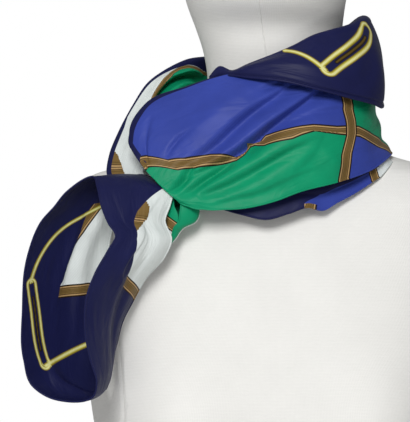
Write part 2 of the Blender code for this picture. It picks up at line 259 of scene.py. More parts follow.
# what each print field holds where it draws nothing
blankFields = {"strapField": 9.0, "coverField": -9.0, "giltField": 9.0, "giltSide": 0.0, "slotField": 9.0}

waveScale = 314  # wave texture's scale for lines 1 mm apart, divided for a wider spacing

silkPrint = {
    # mm on the flat square, from its middle
    "panel": 175,  # side of a square panel, from strap to strap
    "borderFrom": 350,
    "hem": 450,
    "strapHalf": 5,
    "panels": "WGBWGBGBBGBGWBGW",  # rows from the top, four to a row
    "white": "dde3e1",
    "green": "0a9266",
    "blue": "36469c",
    "navy": "191c46",
    "strap": (
        (0.00, "5c4826"),
        (0.10, "7f6538"),
        (0.20, "604b29"),
        (0.34, "866c3e"),
        (0.46, "66502e"),
        (0.52, "2a1c10"),
        (0.60, "b3905f"),
        (0.72, "bd9c6c"),
        (0.80, "2a1c10"),
        (1.00, "1e150d"),
    ),
    "gilt": (
        (0.00, "54440e"),
        (0.18, "9a8a24"),
        (0.34, "cac468"),
        (0.52, "e1dea0"),
        (0.70, "d3d088"),
        (0.88, "8f7c20"),
        (1.00, "54440e"),
    ),
    "slot": ((0.0, "604c1a"), (0.45, "4a3a12"), (0.62, "1c160c"), (1.0, "1c160c")),
    "twillLine": 0.9,  # real lines are 0.3 mm apart: drawn three times as coarse so that they show
    "twillSlant": 63,  # degrees
}


def makeSilk():
    # printed silk twill, woven in fine slanting lines and dyed through: deep colours under a
    # soft, slightly oily sheen that turns pale where the cloth rolls over
    material, tree, shader = newMaterial("printedSilkTwill")
    cloth = addNode(tree, "ShaderNodeUVMap", uv_map="cloth")
    x, y = addNode(tree, "ShaderNodeSeparateXYZ", [cloth]).outputs[:2]
    panel, edge, half = (silkPrint[name] * mm for name in ("panel", "borderFrom", "strapHalf"))

    # panels: floor of the place in panel widths picks one of sixteen colours
    column = addNode(tree, "ShaderNodeMath", [x, edge], operation="ADD")
    column = addNode(tree, "ShaderNodeMath", [column, panel], operation="DIVIDE")
    column = addNode(tree, "ShaderNodeMath", [column], operation="FLOOR")
    row = addNode(tree, "ShaderNodeMath", [edge, y], operation="SUBTRACT")
    row = addNode(tree, "ShaderNodeMath", [row, panel], operation="DIVIDE")
    row = addNode(tree, "ShaderNodeMath", [row], operation="FLOOR")
    index = addNode(tree, "ShaderNodeMath", [row, 4.0, column], operation="MULTIPLY_ADD")
    index = addNode(tree, "ShaderNodeMath", [index, 1 / 16, 0.5 / 16], operation="MULTIPLY_ADD")
    dyes = {"W": silkPrint["white"], "G": silkPrint["green"], "B": silkPrint["blue"]}
    stops = [(i / 16, dyes[letter]) for i, letter in enumerate(silkPrint["panels"])]
    panels = addNode(tree, "ShaderNodeValToRGB", [index], stops)
    panels.color_ramp.interpolation = "CONSTANT"

    # layers over the panels, each a share and a colour: first the border
    absX = addNode(tree, "ShaderNodeMath", [x], operation="ABSOLUTE")
    absY = addNode(tree, "ShaderNodeMath", [y], operation="ABSOLUTE")
    outer = addNode(tree, "ShaderNodeMath", [absX, absY], operation="MAXIMUM")
    navy = linearColour(silkPrint["navy"])
    layers = [(addNode(tree, "ShaderNodeMath", [outer, edge], operation="GREATER_THAN"), navy)]

    # straps: a ramp over the distance to the nearest panel edge, the upright ones on top
    inside = addNode(tree, "ShaderNodeMath", [outer, edge + half], operation="LESS_THAN")
    for line in (y, x):
        away = addNode(tree, "ShaderNodeMath", [line, panel / 2], operation="PINGPONG")
        away = addNode(tree, "ShaderNodeMath", [away, half], operation="DIVIDE")
        near = addNode(tree, "ShaderNodeMath", [away, 1.0], operation="LESS_THAN")
        near = addNode(tree, "ShaderNodeMath", [near, inside], operation="MULTIPLY")
        layers.append((near, addNode(tree, "ShaderNodeValToRGB", [away], silkPrint["strap"])))

    # where pleats bring another part of the square to the top: strap, plain border, gilt rods
    strap, cover, gilt, side, slot = (
        addNode(tree, "ShaderNodeAttribute", attribute_name=name).outputs["Fac"] for name in blankFields
    )
    near = addNode(tree, "ShaderNodeMath", [strap, 1.0], operation="LESS_THAN")
    layers.append((near, addNode(tree, "ShaderNodeValToRGB", [strap], silkPrint["strap"])))
    layers.append((addNode(tree, "ShaderNodeMapRange", [cover, -0.15, 0.15]), navy))
    across = addNode(tree, "ShaderNodeMath", [side, 0.5, 0.5], operation="MULTIPLY_ADD")
    for field, place, name in ((gilt, across, "gilt"), (slot, slot, "slot")):
        near = addNode(tree, "ShaderNodeMapRange", [field, 1.08, 0.92])
        layers.append((near, addNode(tree, "ShaderNodeValToRGB", [place], silkPrint[name])))
    colour = panels.outputs[0]
    for share, tone in layers:
        inputs = {0: share, 6: colour, 7: tone}
        colour = addNode(tree, "ShaderNodeMix", inputs, data_type="RGBA").outputs[2]

    # weave: slanting lines over the cloth's own lengths, and slow uneven dye
    weave = addNode(tree, "ShaderNodeUVMap", uv_map="weave")
    slant = (0, 0, np.radians(silkPrint["twillSlant"]))
    slanted = addNode(tree, "ShaderNodeMapping", {0: weave, 2: slant})
    inputs = {"Vector": slanted, "Scale": waveScale / silkPrint["twillLine"]}
    lines = addNode(tree, "ShaderNodeTexWave", inputs).outputs["Fac"]
    cloud = addNode(tree, "ShaderNodeTexNoise", {"Vector": weave, "Scale": 35.0, "Detail": 3.0})
    shade = addNode(tree, "ShaderNodeMapRange", [cloud, 0.3, 0.7, 0.9, 1.06])
    grain = addNode(tree, "ShaderNodeMapRange", [lines, 0.0, 1.0, 0.93, 1.04])
    shade = addNode(tree, "ShaderNodeMath", [shade, grain], operation="MULTIPLY")
    colour = addNode(tree, "ShaderNodeHueSaturation", {"Value": shade, "Color": colour})

    # height: long drawn creases, and the twill lines on top of them
    drawn = addNode(tree, "ShaderNodeMapping", {0: weave, 3: (22, 75, 1)})
    inputs = {"Vector": drawn, "Scale": 1.0, "Detail": 3.0, "Distortion": 0.6}
    creases = addNode(tree, "ShaderNodeTexNoise", inputs)
    bump = addNode(tree, "ShaderNodeBump", {"Strength": 0.6, "Distance": 0.003, "Height": creases})
    inputs = {"Strength": 0.12, "Distance": 0.0002, "Height": lines, "Normal": bump}
    bump = addNode(tree, "ShaderNodeBump", inputs)
    tree.links.new(colour.outputs[0], shader.inputs["Base Color"])
    tree.links.new(bump.outputs[0], shader.inputs["Normal"])
    shader.inputs["Roughness"].default_value = 0.45
    shader.inputs["IOR"].default_value = 1.54
    shader.inputs["Specular IOR Level"].default_value = 0.12
    return material


linenCover = {
    "cloth": "ebeae6",
    "thread": 1.1,  # mm: real threads are 0.6 mm apart, drawn twice as coarse so that they show
}


def makeLinen():
    # bleached plain-weave linen stretched over the form: matt, with slubs and uneven threads
    material, tree, shader = newMaterial("bleachedLinen")
    weave = addNode(tree, "ShaderNodeUVMap", uv_map="weave")
    inputs = {"Vector": weave, "Scale": 90.0, "Detail": 2.0}
    wobble = addNode(tree, "ShaderNodeTexNoise", inputs).outputs["Color"]
    bent = addNode(tree, "ShaderNodeVectorMath", {0: wobble, 3: 0.0006}, operation="SCALE")
    moved = addNode(tree, "ShaderNodeVectorMath", [weave, bent], operation="ADD")
    inputs = {"Vector": moved, "Scale": waveScale / linenCover["thread"]}
    threads = [
        addNode(tree, "ShaderNodeTexWave", inputs, bands_direction=way).outputs["Fac"] for way in ("X", "Y")
    ]
    woven = addNode(tree, "ShaderNodeMath", threads, operation="MAXIMUM")
    stretched = addNode(tree, "ShaderNodeMapping", {0: weave, 3: (150, 900, 1)})
    slubs = addNode(tree, "ShaderNodeTexNoise", {"Vector": stretched, "Scale": 1.0, "Detail": 3.0})
    cloud = addNode(tree, "ShaderNodeTexNoise", {"Vector": weave, "Scale": 22.0, "Detail": 4.0})
    shade = addNode(tree, "ShaderNodeMapRange", [woven, 0.0, 1.0, 0.93, 1.02])
    for pattern, least, most in ((slubs, 0.985, 1.01), (cloud, 0.975, 1.015)):
        tone = addNode(tree, "ShaderNodeMapRange", [pattern, 0.3, 0.7, least, most])
        shade = addNode(tree, "ShaderNodeMath", [shade, tone], operation="MULTIPLY")
    inputs = {"Value": shade, "Color": linearColour(linenCover["cloth"])}
    colour = addNode(tree, "ShaderNodeHueSaturation", inputs)
    height = addNode(tree, "ShaderNodeMath", [woven, slubs], operation="ADD")
    bump = addNode(tree, "ShaderNodeBump", {"Strength": 0.35, "Distance": 0.0003, "Height": height})
    tree.links.new(colour.outputs[0], shader.inputs["Base Color"])
    tree.links.new(bump.outputs[0], shader.inputs["Normal"])
    shader.inputs["Roughness"].default_value = 0.85
    shader.inputs["Specular IOR Level"].default_value = 0.25
    shader.inputs["Sheen Weight"].default_value = 0.1
    return material


silk = makeSilk()
linen = makeLinen()
print("materials ready")


form = {
    "sides": 176,
    "rings": 190,
    "plateTurn": 20,  # degrees that each armhole plate turns to the front
    "plateDistance": 141.3,
    "plateWall": 2.5,
    "plateFloor": 100,
    "inset": 1.5,
    "bust": {"x": 82, "z": 158, "reach": 15, "width": 44, "height": 52},
    # z, middle, half width, front, back, roundness
    "rows": (
        (0, 0, 116, 86, 80, 2.3),
        (60, 0, 124, 95, 83, 2.35),
        (110, 0, 137, 105, 86, 2.5),
        (150, 0, 147, 111, 89, 2.7),
        (190, 0, 153, 107, 94, 2.55),
        (230, 0, 158, 99, 98, 2.4),
        (300, 0, 171, 80, 95, 2.3),
        (330, 0, 170, 70, 88, 2.3),
        (348, 0, 154, 60, 80, 2.2),
        (360, 0, 118, 55, 75, 2.1),
        (372, 0, 84, 53, 71, 2.0),
        (392, 0, 63, 53, 67, 2.0),
        (412, 0, 56, 53, 64, 2.0),
        (450, -2, 56, 57, 62, 2.0),
        (472, -5, 60, 66, 65, 2.0),
        (488, -7, 64, 88, 71, 2.0),
        (510, -8, 69, 97, 82, 2.0),
        (560, -8, 77, 99, 97, 2.0),
        (610, -8, 78, 93, 97, 2.0),
        (650, -8, 64, 74, 80, 2.0),
        (674, -8, 36, 42, 44, 2.0),
        (682, -8, 6, 8, 8, 2.0),
    ),
    "seam": {"from": 396, "front": -97, "back": 90, "radius": 0.6},  # mm up, degrees round
}
neckAxis = np.array([0.0, 8.0])


def formPoints(angle, inset=0.0, rings=None):
    # rounded oval rings: x = middle + half width sgn(cos) |cos|^(2/r), y likewise with sin, front
    # and back apart; the bust leans forward by reach exp(-(dx/width)^2 - (dz/height)^2)
    rows = np.array(form["rows"], float)
    knots = np.concatenate([[0], np.cumsum(np.hypot(np.diff(rows[:, 0]), np.diff(rows[:, 2])))])
    rows = readSmoothly(rows, knots, np.linspace(0, 1, rings or form["rings"]) * knots[-1])
    z, middle, halfWidth, front, back, roundness = (rows[:, i, None] for i in range(6))
    cosine, sine = np.cos(angle)[None, :], np.sin(angle)[None, :]
    x = middle + (halfWidth - inset) * np.sign(cosine) * abs(cosine) ** (2 / roundness)
    y = (np.where(sine < 0, front, back) - inset) * np.sign(sine) * abs(sine) ** (2 / roundness)
    bust = form["bust"]
    cup = np.exp(-(((abs(x) - bust["x"]) / bust["width"]) ** 2) - ((z - bust["z"]) / bust["height"]) ** 2)
    y = y - bust["reach"] * cup * np.clip(-sine, 0, 1)
    return np.stack([x, y, np.broadcast_to(z, x.shape)], axis=2)


def formMesh(name, inset=0.0):
    sides = form["sides"]
    points = formPoints(np.linspace(0, 2 * np.pi, sides, endpoint=False), inset)
    last = (len(points) - 1) * sides
    ring = np.arange(sides)
    seam = np.arange(len(points) - 1) * sides
    faces = gridFaces(len(points), sides, flip=True).tolist()
    faces += np.stack([seam + sides - 1, seam, seam + sides, seam + 2 * sides - 1], axis=1).tolist()
    faces += [ring[::-1].tolist(), (ring + last).tolist()]
    return makeMesh(name, points, faces)


def slabBlock(side, near, far):
    # a block square to an armhole, from near to far along the armhole's axis
    turn = np.arctan2(-np.sin(np.radians(form["plateTurn"])), side * np.cos(np.radians(form["plateTurn"])))
    half = np.array([(far - near) / 2, 200, 200])
    corners = np.array([(i, j, k) for i in (-1, 1) for j in (-1, 1) for k in (-1, 1)]) * half
    corners += ((near + far) / 2, 0, form["plateFloor"] + 200)
    faces = [(0, 1, 3, 2), (4, 6, 7, 5), (0, 4, 5, 1), (2, 3, 7, 6), (0, 2, 6, 4), (1, 5, 7, 3)]
    mesh = bpy.data.meshes.new("block")
    mesh.from_pydata((corners * mm).tolist(), [], faces)
    mesh.transform(Matrix.Rotation(turn, 4, "Z"))
    mesh.update()
    block = bpy.data.objects.new("block", mesh)
    bpy.context.scene.collection.objects.link(block)
    return block


def cutMesh(piece, blocks, operation):
    # the piece's mesh after exact cuts by the blocks
    for block in blocks:
        cut = piece.modifiers.new("Cut", "BOOLEAN")
        cut.operation, cut.solver, cut.object = operation, "EXACT", block
    graph = bpy.context.evaluated_depsgraph_get()
    mesh = bpy.data.meshes.new_from_object(piece.evaluated_get(graph))
    piece.modifiers.clear()
    piece.data = mesh
    for block in blocks:
        bpy.data.objects.remove(block)


def weaveOnForm(mesh, plateSide=0):
    # weave map: round the form by angle times a mean radius, and up by height; flat plates by
    # their own breadth and height
    co = np.zeros(len(mesh.vertices) * 3)
    mesh.vertices.foreach_get("co", co)
    co = co.reshape(-1, 3)
    corners = np.zeros(len(mesh.loops), np.int32)
    mesh.loops.foreach_get("vertex_index", corners)
    starts = np.zeros(len(mesh.polygons), np.int32)
    totals = np.zeros(len(mesh.polygons), np.int32)
    mesh.polygons.foreach_get("loop_start", starts)
    mesh.polygons.foreach_get("loop_total", totals)
    face = np.repeat(np.arange(len(starts)), totals)
    p = co[corners]
    angle = np.arctan2(p[:, 0], -p[:, 1])
    low = np.minimum.reduceat(angle, starts)[face]
    high = np.maximum.reduceat(angle, starts)[face]
    angle = np.where((high - low > np.pi) & (angle < 0), angle + 2 * np.pi, angle)
    radius = np.where(p[:, 2] > 0.385, 0.06, 0.125)
    pairs = np.stack([angle * radius, p[:, 2]], axis=1)
    if plateSide:
        pairs = np.stack([p[:, 1], p[:, 2]], axis=1)
    layer = mesh.uv_layers.new(name="weave")
    layer.uv.foreach_set("vector", pairs.astype(np.float32).ravel())


def makeForm():
    distance = form["plateDistance"]
    body = bpy.data.objects.new("formBody", formMesh("formBody"))
    bpy.context.scene.collection.objects.link(body)
    cutMesh(body, [slabBlock(side, distance, 400) for side in (-1, 1)], "DIFFERENCE")
    pieces = [(body, ["form_body"], 0)]
    for side, name in ((-1, "right"), (1, "left")):
        plate = bpy.data.objects.new("armPlate" + name.title(), formMesh("armPlate", form["inset"]))
        bpy.context.scene.collection.objects.link(plate)
        cutMesh(plate, [slabBlock(side, distance + 0.3, distance + form["plateWall"])], "INTERSECT")
        pieces.append((plate, ["form_arm_plate_" + name], side))
    for piece, nodes, side in pieces:
        mesh = piece.data
        weaveOnForm(mesh, side)
        mesh.materials.clear()
        mesh.materials.append(linen)
        mesh.shade_smooth()
        mesh.set_sharp_from_angle(angle=np.radians(35))
        finishPiece(piece, nodes)


def cordAlong(path, radius, sides=8, closed=False):
    # a ring of the given radius carried along the path, with shut ends unless it runs round
    count = len(path)
    run = np.roll(path, -1, axis=0) - np.roll(path, 1, axis=0) if closed else np.gradient(path, axis=0)
    side = unit(np.cross(unit(run), (0.1, 0.2, 1.0)))
    other = np.cross(unit(run), side)
    turn = np.linspace(0, 2 * np.pi, sides, endpoint=False)[None, :, None]
    grid = path[:, None] + radius * (side[:, None] * np.cos(turn) + other[:, None] * np.sin(turn))
    i = np.arange(count if closed else count - 1)[:, None]
    j = np.arange(sides)
    here, after, beside = i * sides, (i + 1) % count * sides, (j + 1) % sides
    faces = np.stack([here + j, here + beside, after + beside, after + j], axis=-1)
    faces = faces.reshape(-1, 4).tolist()
    if not closed:
        faces += [j[::-1].tolist(), (j + (count - 1) * sides).tolist()]
    return grid, faces


def makeSeam():
    # the raised seam of the cover: up the front of the neck, over the crown and down the back
    seam = form["seam"]
    lines = formPoints(np.radians([seam["front"], seam["back"]]), rings=400)
    lines = lines[lines[:, 0, 2] > seam["from"]]
    path = np.concatenate([lines[:, 0], lines[::-1, 1]])
    grid, faces = cordAlong(path, seam["radius"])
    pairs = np.repeat(path[:, None, ::2], grid.shape[1], axis=1) * mm
    piece = placePiece("coverSeam", makeMesh("coverSeam", grid, faces, {"weave": pairs}), linen)
    finishPiece(piece, [])


makeForm()
makeSeam()
print("form ready")


def makeCloth(name, surface, printOf, hems=(), wall=0.5, closed=False, flip=False, sharpAngle=60):
    # the surface as a thin wall of silk; printOf gives the cloth map in metres and the fields
    points, u, v, length, wide = surface
    x, y, fields = printOf(u, v, length, wide)
    alongSteps = np.linalg.norm(np.diff(points, axis=0), axis=2)
    acrossSteps = np.linalg.norm(np.diff(points, axis=1), axis=2)
    s = np.concatenate([np.zeros((1, points.shape[1])), np.cumsum(alongSteps, axis=0)]).mean(1)
    t = np.concatenate([np.zeros((points.shape[0], 1)), np.cumsum(acrossSteps, axis=1)], axis=1).mean(0)
    weave = np.stack([s[:, None] + 0 * u, t[None, :] + 0 * u], axis=2) * mm
    values = {
        key: np.clip(fields.get(key, level) * np.ones_like(u), -9, 9) for key, level in blankFields.items()
    }
    maps = {"cloth": np.stack([x * np.ones_like(u), y * np.ones_like(u)], axis=2), "weave": weave}
    rows, columns = u.shape
    mesh = makeMesh(name, points, gridFaces(rows, columns, closed, flip).tolist(), maps, values)
    piece = placePiece(name, mesh, silk, sharpAngle)
    thick = piece.modifiers.new("Wall", "SOLIDIFY")
    thick.thickness, thick.offset, thick.use_even_offset = wall * mm, 0, False
    made = [makeHem(f"{name}Edge{i}", points, maps, values, **hem) for i, hem in enumerate(hems)]
    return piece, made


def makeHem(name, points, maps, values, line, radius=0.7, closed=False, place=None):
    # a rolled edge along one edge of the cloth, printed like the cloth it is rolled from or, where a place
    # on the square is given, like that place: used to paint a pale highlight along the tail curl's outer
    # edge
    grid, faces = cordAlong(points[line], radius, closed=closed)
    spread = np.repeat(np.arange(grid.shape[0]), grid.shape[1])
    maps = {key: pairs[line][spread] for key, pairs in maps.items()}
    if place:
        maps["cloth"] = np.ones((len(spread), 1)) * place
    values = {key: level[line][spread] for key, level in values.items()}
    return placePiece(name, makeMesh(name, grid, faces, maps, values), silk)


def barField(bar, u, v, length, wide):
    # distance in half widths to start + (end - start) t, bowed to its left by bow sin(pi t)
    start, end, bow, half = bar
    flat = np.array((length, wide.mean()))
    t = np.linspace(0, 1, 13)[:, None]
    run = unit((np.array(end) - start) * flat)
    line = start + (np.array(end) - start) * t + bow * np.sin(np.pi * t) * (-run[1], run[0]) / flat
    return lineField(line, u, v, length, wide)[0] / half


def linkField(link, u, v, length, wide):
    # a round-ended link: distance to its middle line less the short reach, in half widths, and
    # the distance to a slot on the middle line, in half widths of the slot
    middle, (long, short), tilt, half = link
    cosine, sine = np.cos(np.radians(tilt)), np.sin(np.radians(tilt))
    right, up = (u - middle[0]) * length, (v - middle[1]) * wide
    x, y = abs(right * cosine + up * sine), up * cosine - right * sine
    rod = (np.hypot(np.maximum(x - long + short, 0), y) - short) / half
    return rod, np.hypot(np.maximum(x - 0.6 * long, 0), y) / (0.7 * half)


def giltFields(piece, u, v, length, wide):
    # nearest gilt bar or link, the place across it from -1 to 1, and the slots of the links
    links = [linkField(link, u, v, length, wide) for link in piece["links"]]
    bars = [barField(bar, u, v, length, wide) for bar in piece["bars"]]
    rods = np.array(bars + [rod for rod, slot in links])
    nearest = abs(rods).argmin(axis=0)[None]
    across = np.take_along_axis(rods, nearest, 0)[0]
    slot = np.min([slot for rod, slot in links], axis=0)
    return {"giltField": abs(across), "giltSide": np.clip(across, -1, 1), "slotField": slot}


# edges of a surface's grid: every step along it, first or last step across it
lowEdge, highEdge = (slice(None), 0), (slice(None), -1)

neckWrap = {
    "steps": (380, 100, 8, 10),
    "leafSide": -1,
    # low edge, high edge, bulge, roll, leaf
    "sections": (
        ((-86, -92, 341), (-90, -90, 346.5), 1, 1.5, 1),
        ((-79, -96, 331), (-101.5, -87, 358.5), 4, 2, 3),
        ((-69, -99, 325.5), (-115, -77, 370), 8, 2.5, 8),
        ((-57, -100, 323.5), (-118, -67, 385), 11, 3, 12),
        ((-42, -101, 323.5), (-106, -61, 407), 13, 3, 14),
        ((-24, -101, 325), (-71, -64, 422), 14, 3, 14),
        ((-3, -100, 330), (-40, -69, 431), 14, 3, 14),
        ((19, -96, 338), (-4, -73, 434), 13, 3, 14),
        ((47, -86, 345), (30, -67, 438), 10, 3, 14),
        ((73, -66, 354), (57, -51, 442), 4, 3, 14),
        ((91, -34, 366), (74, -23, 446), -3, 3, 14),
        ((94.5, 4, 370), (77.5, 6, 448), -3.5, 3, 14),
        ((87, 46, 367), (70, 44, 448), -2, 3, 14),
        ((60, 77, 363), (49, 65, 448), 4, 3, 14),
        ((18, 89, 361), (16, 76, 448), 5, 3, 14),
    ),
    # path, depth, reach on its left, reach on its right
    "folds": (
        (
            (
                (0.03, 0.31), (0.12, 0.335), (0.201, 0.395), (0.25, 0.46), (0.311, 0.585), (0.389, 0.76),
                (0.45, 0.92),
            ),
            12.0, 1.9, 9.0,
        ),
        (((0.05, 0.40), (0.15, 0.46), (0.24, 0.62), (0.32, 0.80), (0.38, 0.95)), 8.0, 2.6, 8.0),
        (((0.11, 0.60), (0.20, 0.72), (0.28, 0.92)), -3.0, 9.0, 9.0),
        (((0.06, 0.15), (0.104, 0.16), (0.22, 0.23), (0.315, 0.315), (0.38, 0.37)), 6.5, 2.4, 7.0),
        (((0.01, 0.27), (0.05, 0.31), (0.09, 0.37), (0.13, 0.41)), 6.0, 1.6, 3.5),
        (((0.02, 0.18), (0.08, 0.24), (0.14, 0.30), (0.20, 0.36)), 7.0, 2.3, 4.5),
        (((0.075, 0.54), (0.10, 0.59), (0.12, 0.62), (0.16, 0.67)), 3.0, 1.6, 2.6),
        (((0.03, 0.62), (0.055, 0.76), (0.10, 0.92)), 3.0, 4.0, 3.0),
        (((0.06, 0.03), (0.14, 0.07), (0.24, 0.08), (0.40, 0.14)), 3.6, 2.0, 7.0),
        (((0.30, 0.10), (0.36, 0.22), (0.40, 0.42)), 2.6, 4.0, 9.0),
        (((0.36, 0.30), (0.40, 0.18), (0.43, 0.05)), -2.0, 6.0, 6.0),
        (((0.30, 0.50), (0.36, 0.58), (0.42, 0.60), (0.50, 0.56)), 2.4, 2.5, 7.0),
        (((0.26, 0.78), (0.32, 0.90), (0.36, 0.97)), 3.0, 2.5, 6.0),
        (((0.50, 0.24), (0.64, 0.42), (0.83, 0.46)), 2.0, 9.0, 6.0),
        (((0.60, 0.70), (0.77, 0.72), (0.95, 0.60)), 1.0, 8.0, 8.0),
        (((0.50, 0.15), (0.64, 0.17), (0.78, 0.20), (0.96, 0.20)), 3.6, 8.0, 5.0),
    ),
    # u, height v of the strap's middle, mm of cloth lost in pleats above it and below it
    "strap": (
        (0.000, 0.930, 0.0, 0.0),
        (0.014, 0.900, 0.0, 0.0),
        (0.024, 0.745, 0.0, 0.0),
        (0.034, 0.710, 0.0, 0.0),
        (0.079, 0.470, 0.0, 0.0),
        (0.110, 0.420, 0.0, 0.0),
        (0.158, 0.400, 0.0, 0.0),
        (0.190, 0.380, 2.0, 2.0),
        (0.199, 0.370, 3.5, 2.5),
        (0.219, 0.395, 5.5, 3.0),
        (0.235, 0.445, 5.5, 3.0),
        (0.246, 0.448, 5.5, 3.0),
        (0.256, 0.446, 5.5, 1.5),
        (0.266, 0.446, 2.0, 0.0),
        (0.274, 0.448, 0.0, 0.0),
        (0.290, 0.450, 0.0, 0.0),
        (0.324, 0.450, 0.0, 0.0),
        (0.345, 0.450, 0.0, 2.0),
        (0.371, 0.445, 0.0, 4.0),
        (0.420, 0.400, 0.0, 3.0),
        (0.442, 0.390, 0.0, 2.0),
        (0.478, 0.365, 0.0, 1.0),
        (0.608, 0.090, 0.0, 0.0),
        (0.750, -0.30, 0.0, 0.0),
        (1.000, -0.60, 0.0, 0.0),
    ),
    # v, and where the upright strap crosses it
    "upright": ((0.0, 0.426), (0.2, 0.436), (0.36, 0.454), (0.46, 0.458), (0.625, 0.460), (1.0, 0.466)),
    "uprightStretch": (18.0, 0.86),  # within so many mm of it the print runs slower, by that share
    "rise": ((0.05, 0.74), (0.16, 0.95)),  # u, mm of print for each mm up the wall
    "firstPrint": -168,  # mm from the upright strap at which the print stands still
    "slowPrint": (120, 0.5),  # past so many mm round to the back the print runs slower, by that share
    # u, mm above the crest at which the navy border starts
    "border": (
        (0.000, -0.5),
        (0.012, -1.0),
        (0.020, -5.5),
        (0.050, -6.0),
        (0.090, -2.5),
        (0.150, 0.5),
        (0.250, 2.5),
        (0.400, 6.0),
        (0.860, 6.0),
        (1.000, -12.0),
    ),
    "turnedBorder": (0.016, 0.039, 0.77),  # from u to u and above v, where the wrap turns back
}


def wrapPrint(u, v, length, wide):
    middle, lostAbove, lostBelow = (readTable(neckWrap["strap"], u, i) for i in (1, 2, 3))
    up = (v - middle) * wide * readTable(neckWrap["rise"], u)
    y = up + np.where(up > 0, lostAbove, -lostBelow)
    across = (u - readTable(neckWrap["upright"], v)) * length
    near, share = neckWrap["uprightStretch"]
    x = np.where(abs(across) < near, across * share, across - np.sign(across) * near * (1 - share))
    slowFrom, slow = neckWrap["slowPrint"]
    x = np.where(x > slowFrom, slowFrom + (x - slowFrom) * slow, np.maximum(x, neckWrap["firstPrint"]))
    start, end, above = neckWrap["turnedBorder"]
    turned = np.minimum(np.minimum(end - u, u - start) * length, (v - above) * wide)
    cover = np.maximum((v - 1) * wide - readTable(neckWrap["border"], u), turned)
    return x * mm, y * mm, {"coverField": cover}


wrapHems = [{"line": lowEdge, "radius": 0.8}]
wrapPiece, wrapEdges = makeCloth("neckWrap", woundCloth(neckWrap), wrapPrint, wrapHems)
print("neck wrap ready")

collarFlap = {
    "steps": (310, 84, 10, 8),
    "leafSide": -1,
    "sections": (
        ((-54, -60, 425.5), (-53.6, -60, 429), 0, 0.2, 0.2),
        ((-48, -62, 427.5), (-47.2, -62, 436.5), 0.5, 0.8, 1),
        ((-36, -71, 429.5), (-35.2, -66, 434), 1, 1, 2),
        ((-25, -78, 428), (-24, -70, 439), 3, 2, 3),
        ((6, -89, 424), (-2, -71, 448), 5, 3, 4),
        ((35, -89, 417), (14, -71, 455), 6, 3.5, 5),
        ((60, -78, 411), (30, -67, 463), 7, 4, 8),
        ((76, -64, 407.5), (45, -63, 467.5), 9, 5, 11),
        ((84.5, -46, 405), (62, -53, 472), 9.5, 5.5, 12),
        ((85.5, -20, 413), (75, -31, 479), 5.8, 6, 11),
        ((83.5, 8, 427), (75, 2, 481), 6, 6, 11),
        ((78, 40, 438), (61, 36, 475), 6, 4, 11),
        ((57, 66, 444), (41, 58, 465), 4, 3, 7),
        ((25, 81, 450), (17, 74, 456), 1, 1.5, 1),
    ),
    "folds": (
        (
            ((-0.10, 0.10), (0.12, 0.085), (0.25, 0.055), (0.40, 0.048), (0.54, 0.05), (0.62, 0.05)),
            1.1, 0.8, 0.9,
        ),
        (((0.34, 0.05), (0.42, 0.35), (0.50, 0.80)), 1.5, 6.0, 6.0),
        (((0.55, 0.10), (0.62, 0.45), (0.66, 0.85)), 2.0, 6.0, 6.0),
        (((0.12, 0.30), (0.22, 0.35), (0.32, 0.20)), 0.8, 5.0, 5.0),
    ),
    "corner": 0.492,  # u of the square's corner
    "printLength": 310,
    "printHeight": 90,
    # gilt bars: start and end in u and v, bow and half width in mm
    "bars": (((0.24, 1.0), (0.31, 0.4), 2, 2.7),),
    # gilt links: middle in u and v, long and short reach in mm, tilt in degrees, half width in mm
    "links": (((0.42, 0.72), (38, 5), 28, 2.3),),
}


def flapPrint(u, v, length, wide):
    x = silkPrint["hem"] - abs(u - collarFlap["corner"]) * collarFlap["printLength"]
    y = -silkPrint["hem"] + np.clip(v * wide, 0, collarFlap["printHeight"])
    return x * mm, y * mm, giltFields(collarFlap, u, v, length, wide)


flapHems = [{"line": lowEdge, "radius": 1.1}]
flapPiece, flapEdges = makeCloth("collarFlap", woundCloth(collarFlap), flapPrint, flapHems)
print("collar flap ready")

underWrap = {
    "steps": (190, 26, 0, 0),
    "leafSide": -1,
    "sections": (
        ((-58, -88, 331), (-60, -84, 352), 0, 0, 0),
        ((-42, -91, 323.5), (-45, -86, 348), 0, 0, 0),
        ((-26, -92, 319), (-28, -87, 346), 0, 0, 0),
        ((-9, -92, 315.6), (-10, -87, 346), 0, 0, 0),
        ((8, -90, 320), (7, -85, 348), 0, 0, 0),
        ((24, -87, 325), (22, -81, 350), 0, 0, 0),
        ((36, -82, 322.8), (33, -76, 354), 0, 0, 0),
        ((47, -77, 328.8), (44, -70, 356), 0, 0, 0),
        ((59, -71, 335), (55, -64, 358), 0, 0, 0),
        ((76, -60, 345.5), (72, -55, 364), 0, 0, 0),
        ((83.5, -53, 350.5), (79.5, -46, 367), 0, 0, 0),
        ((89, -45, 356.5), (84, -38, 368), 0, 0, 0),
        ((93.5, -32, 361.5), (88, -27, 369), 0, 0, 0),
    ),
    "folds": ((((0.42, 0.42), (0.64, 0.40), (0.88, 0.38)), 1.2, 1.2, 3.0),),
    "printLength": 160.5,  # mm along the stretch that its print spans
    "upright": 0.93,  # u of the upright strap
    "printRows": (262, 10),  # mm on the square at the low edge, and from there to the high edge
    # u, and the v where the navy border starts
    "border": ((0.50, 0.10), (0.60, 0.40), (0.72, 0.42), (1.0, 0.42)),
    "borderTo": 0.512,  # u up to which the border fills the whole height
    "whiteFrom": 0.985,  # u past which no border shows
    "patch": (0.535, 0.3, 6, 0.16),  # u, lean, half width in mm and top v of a piece of strap
}


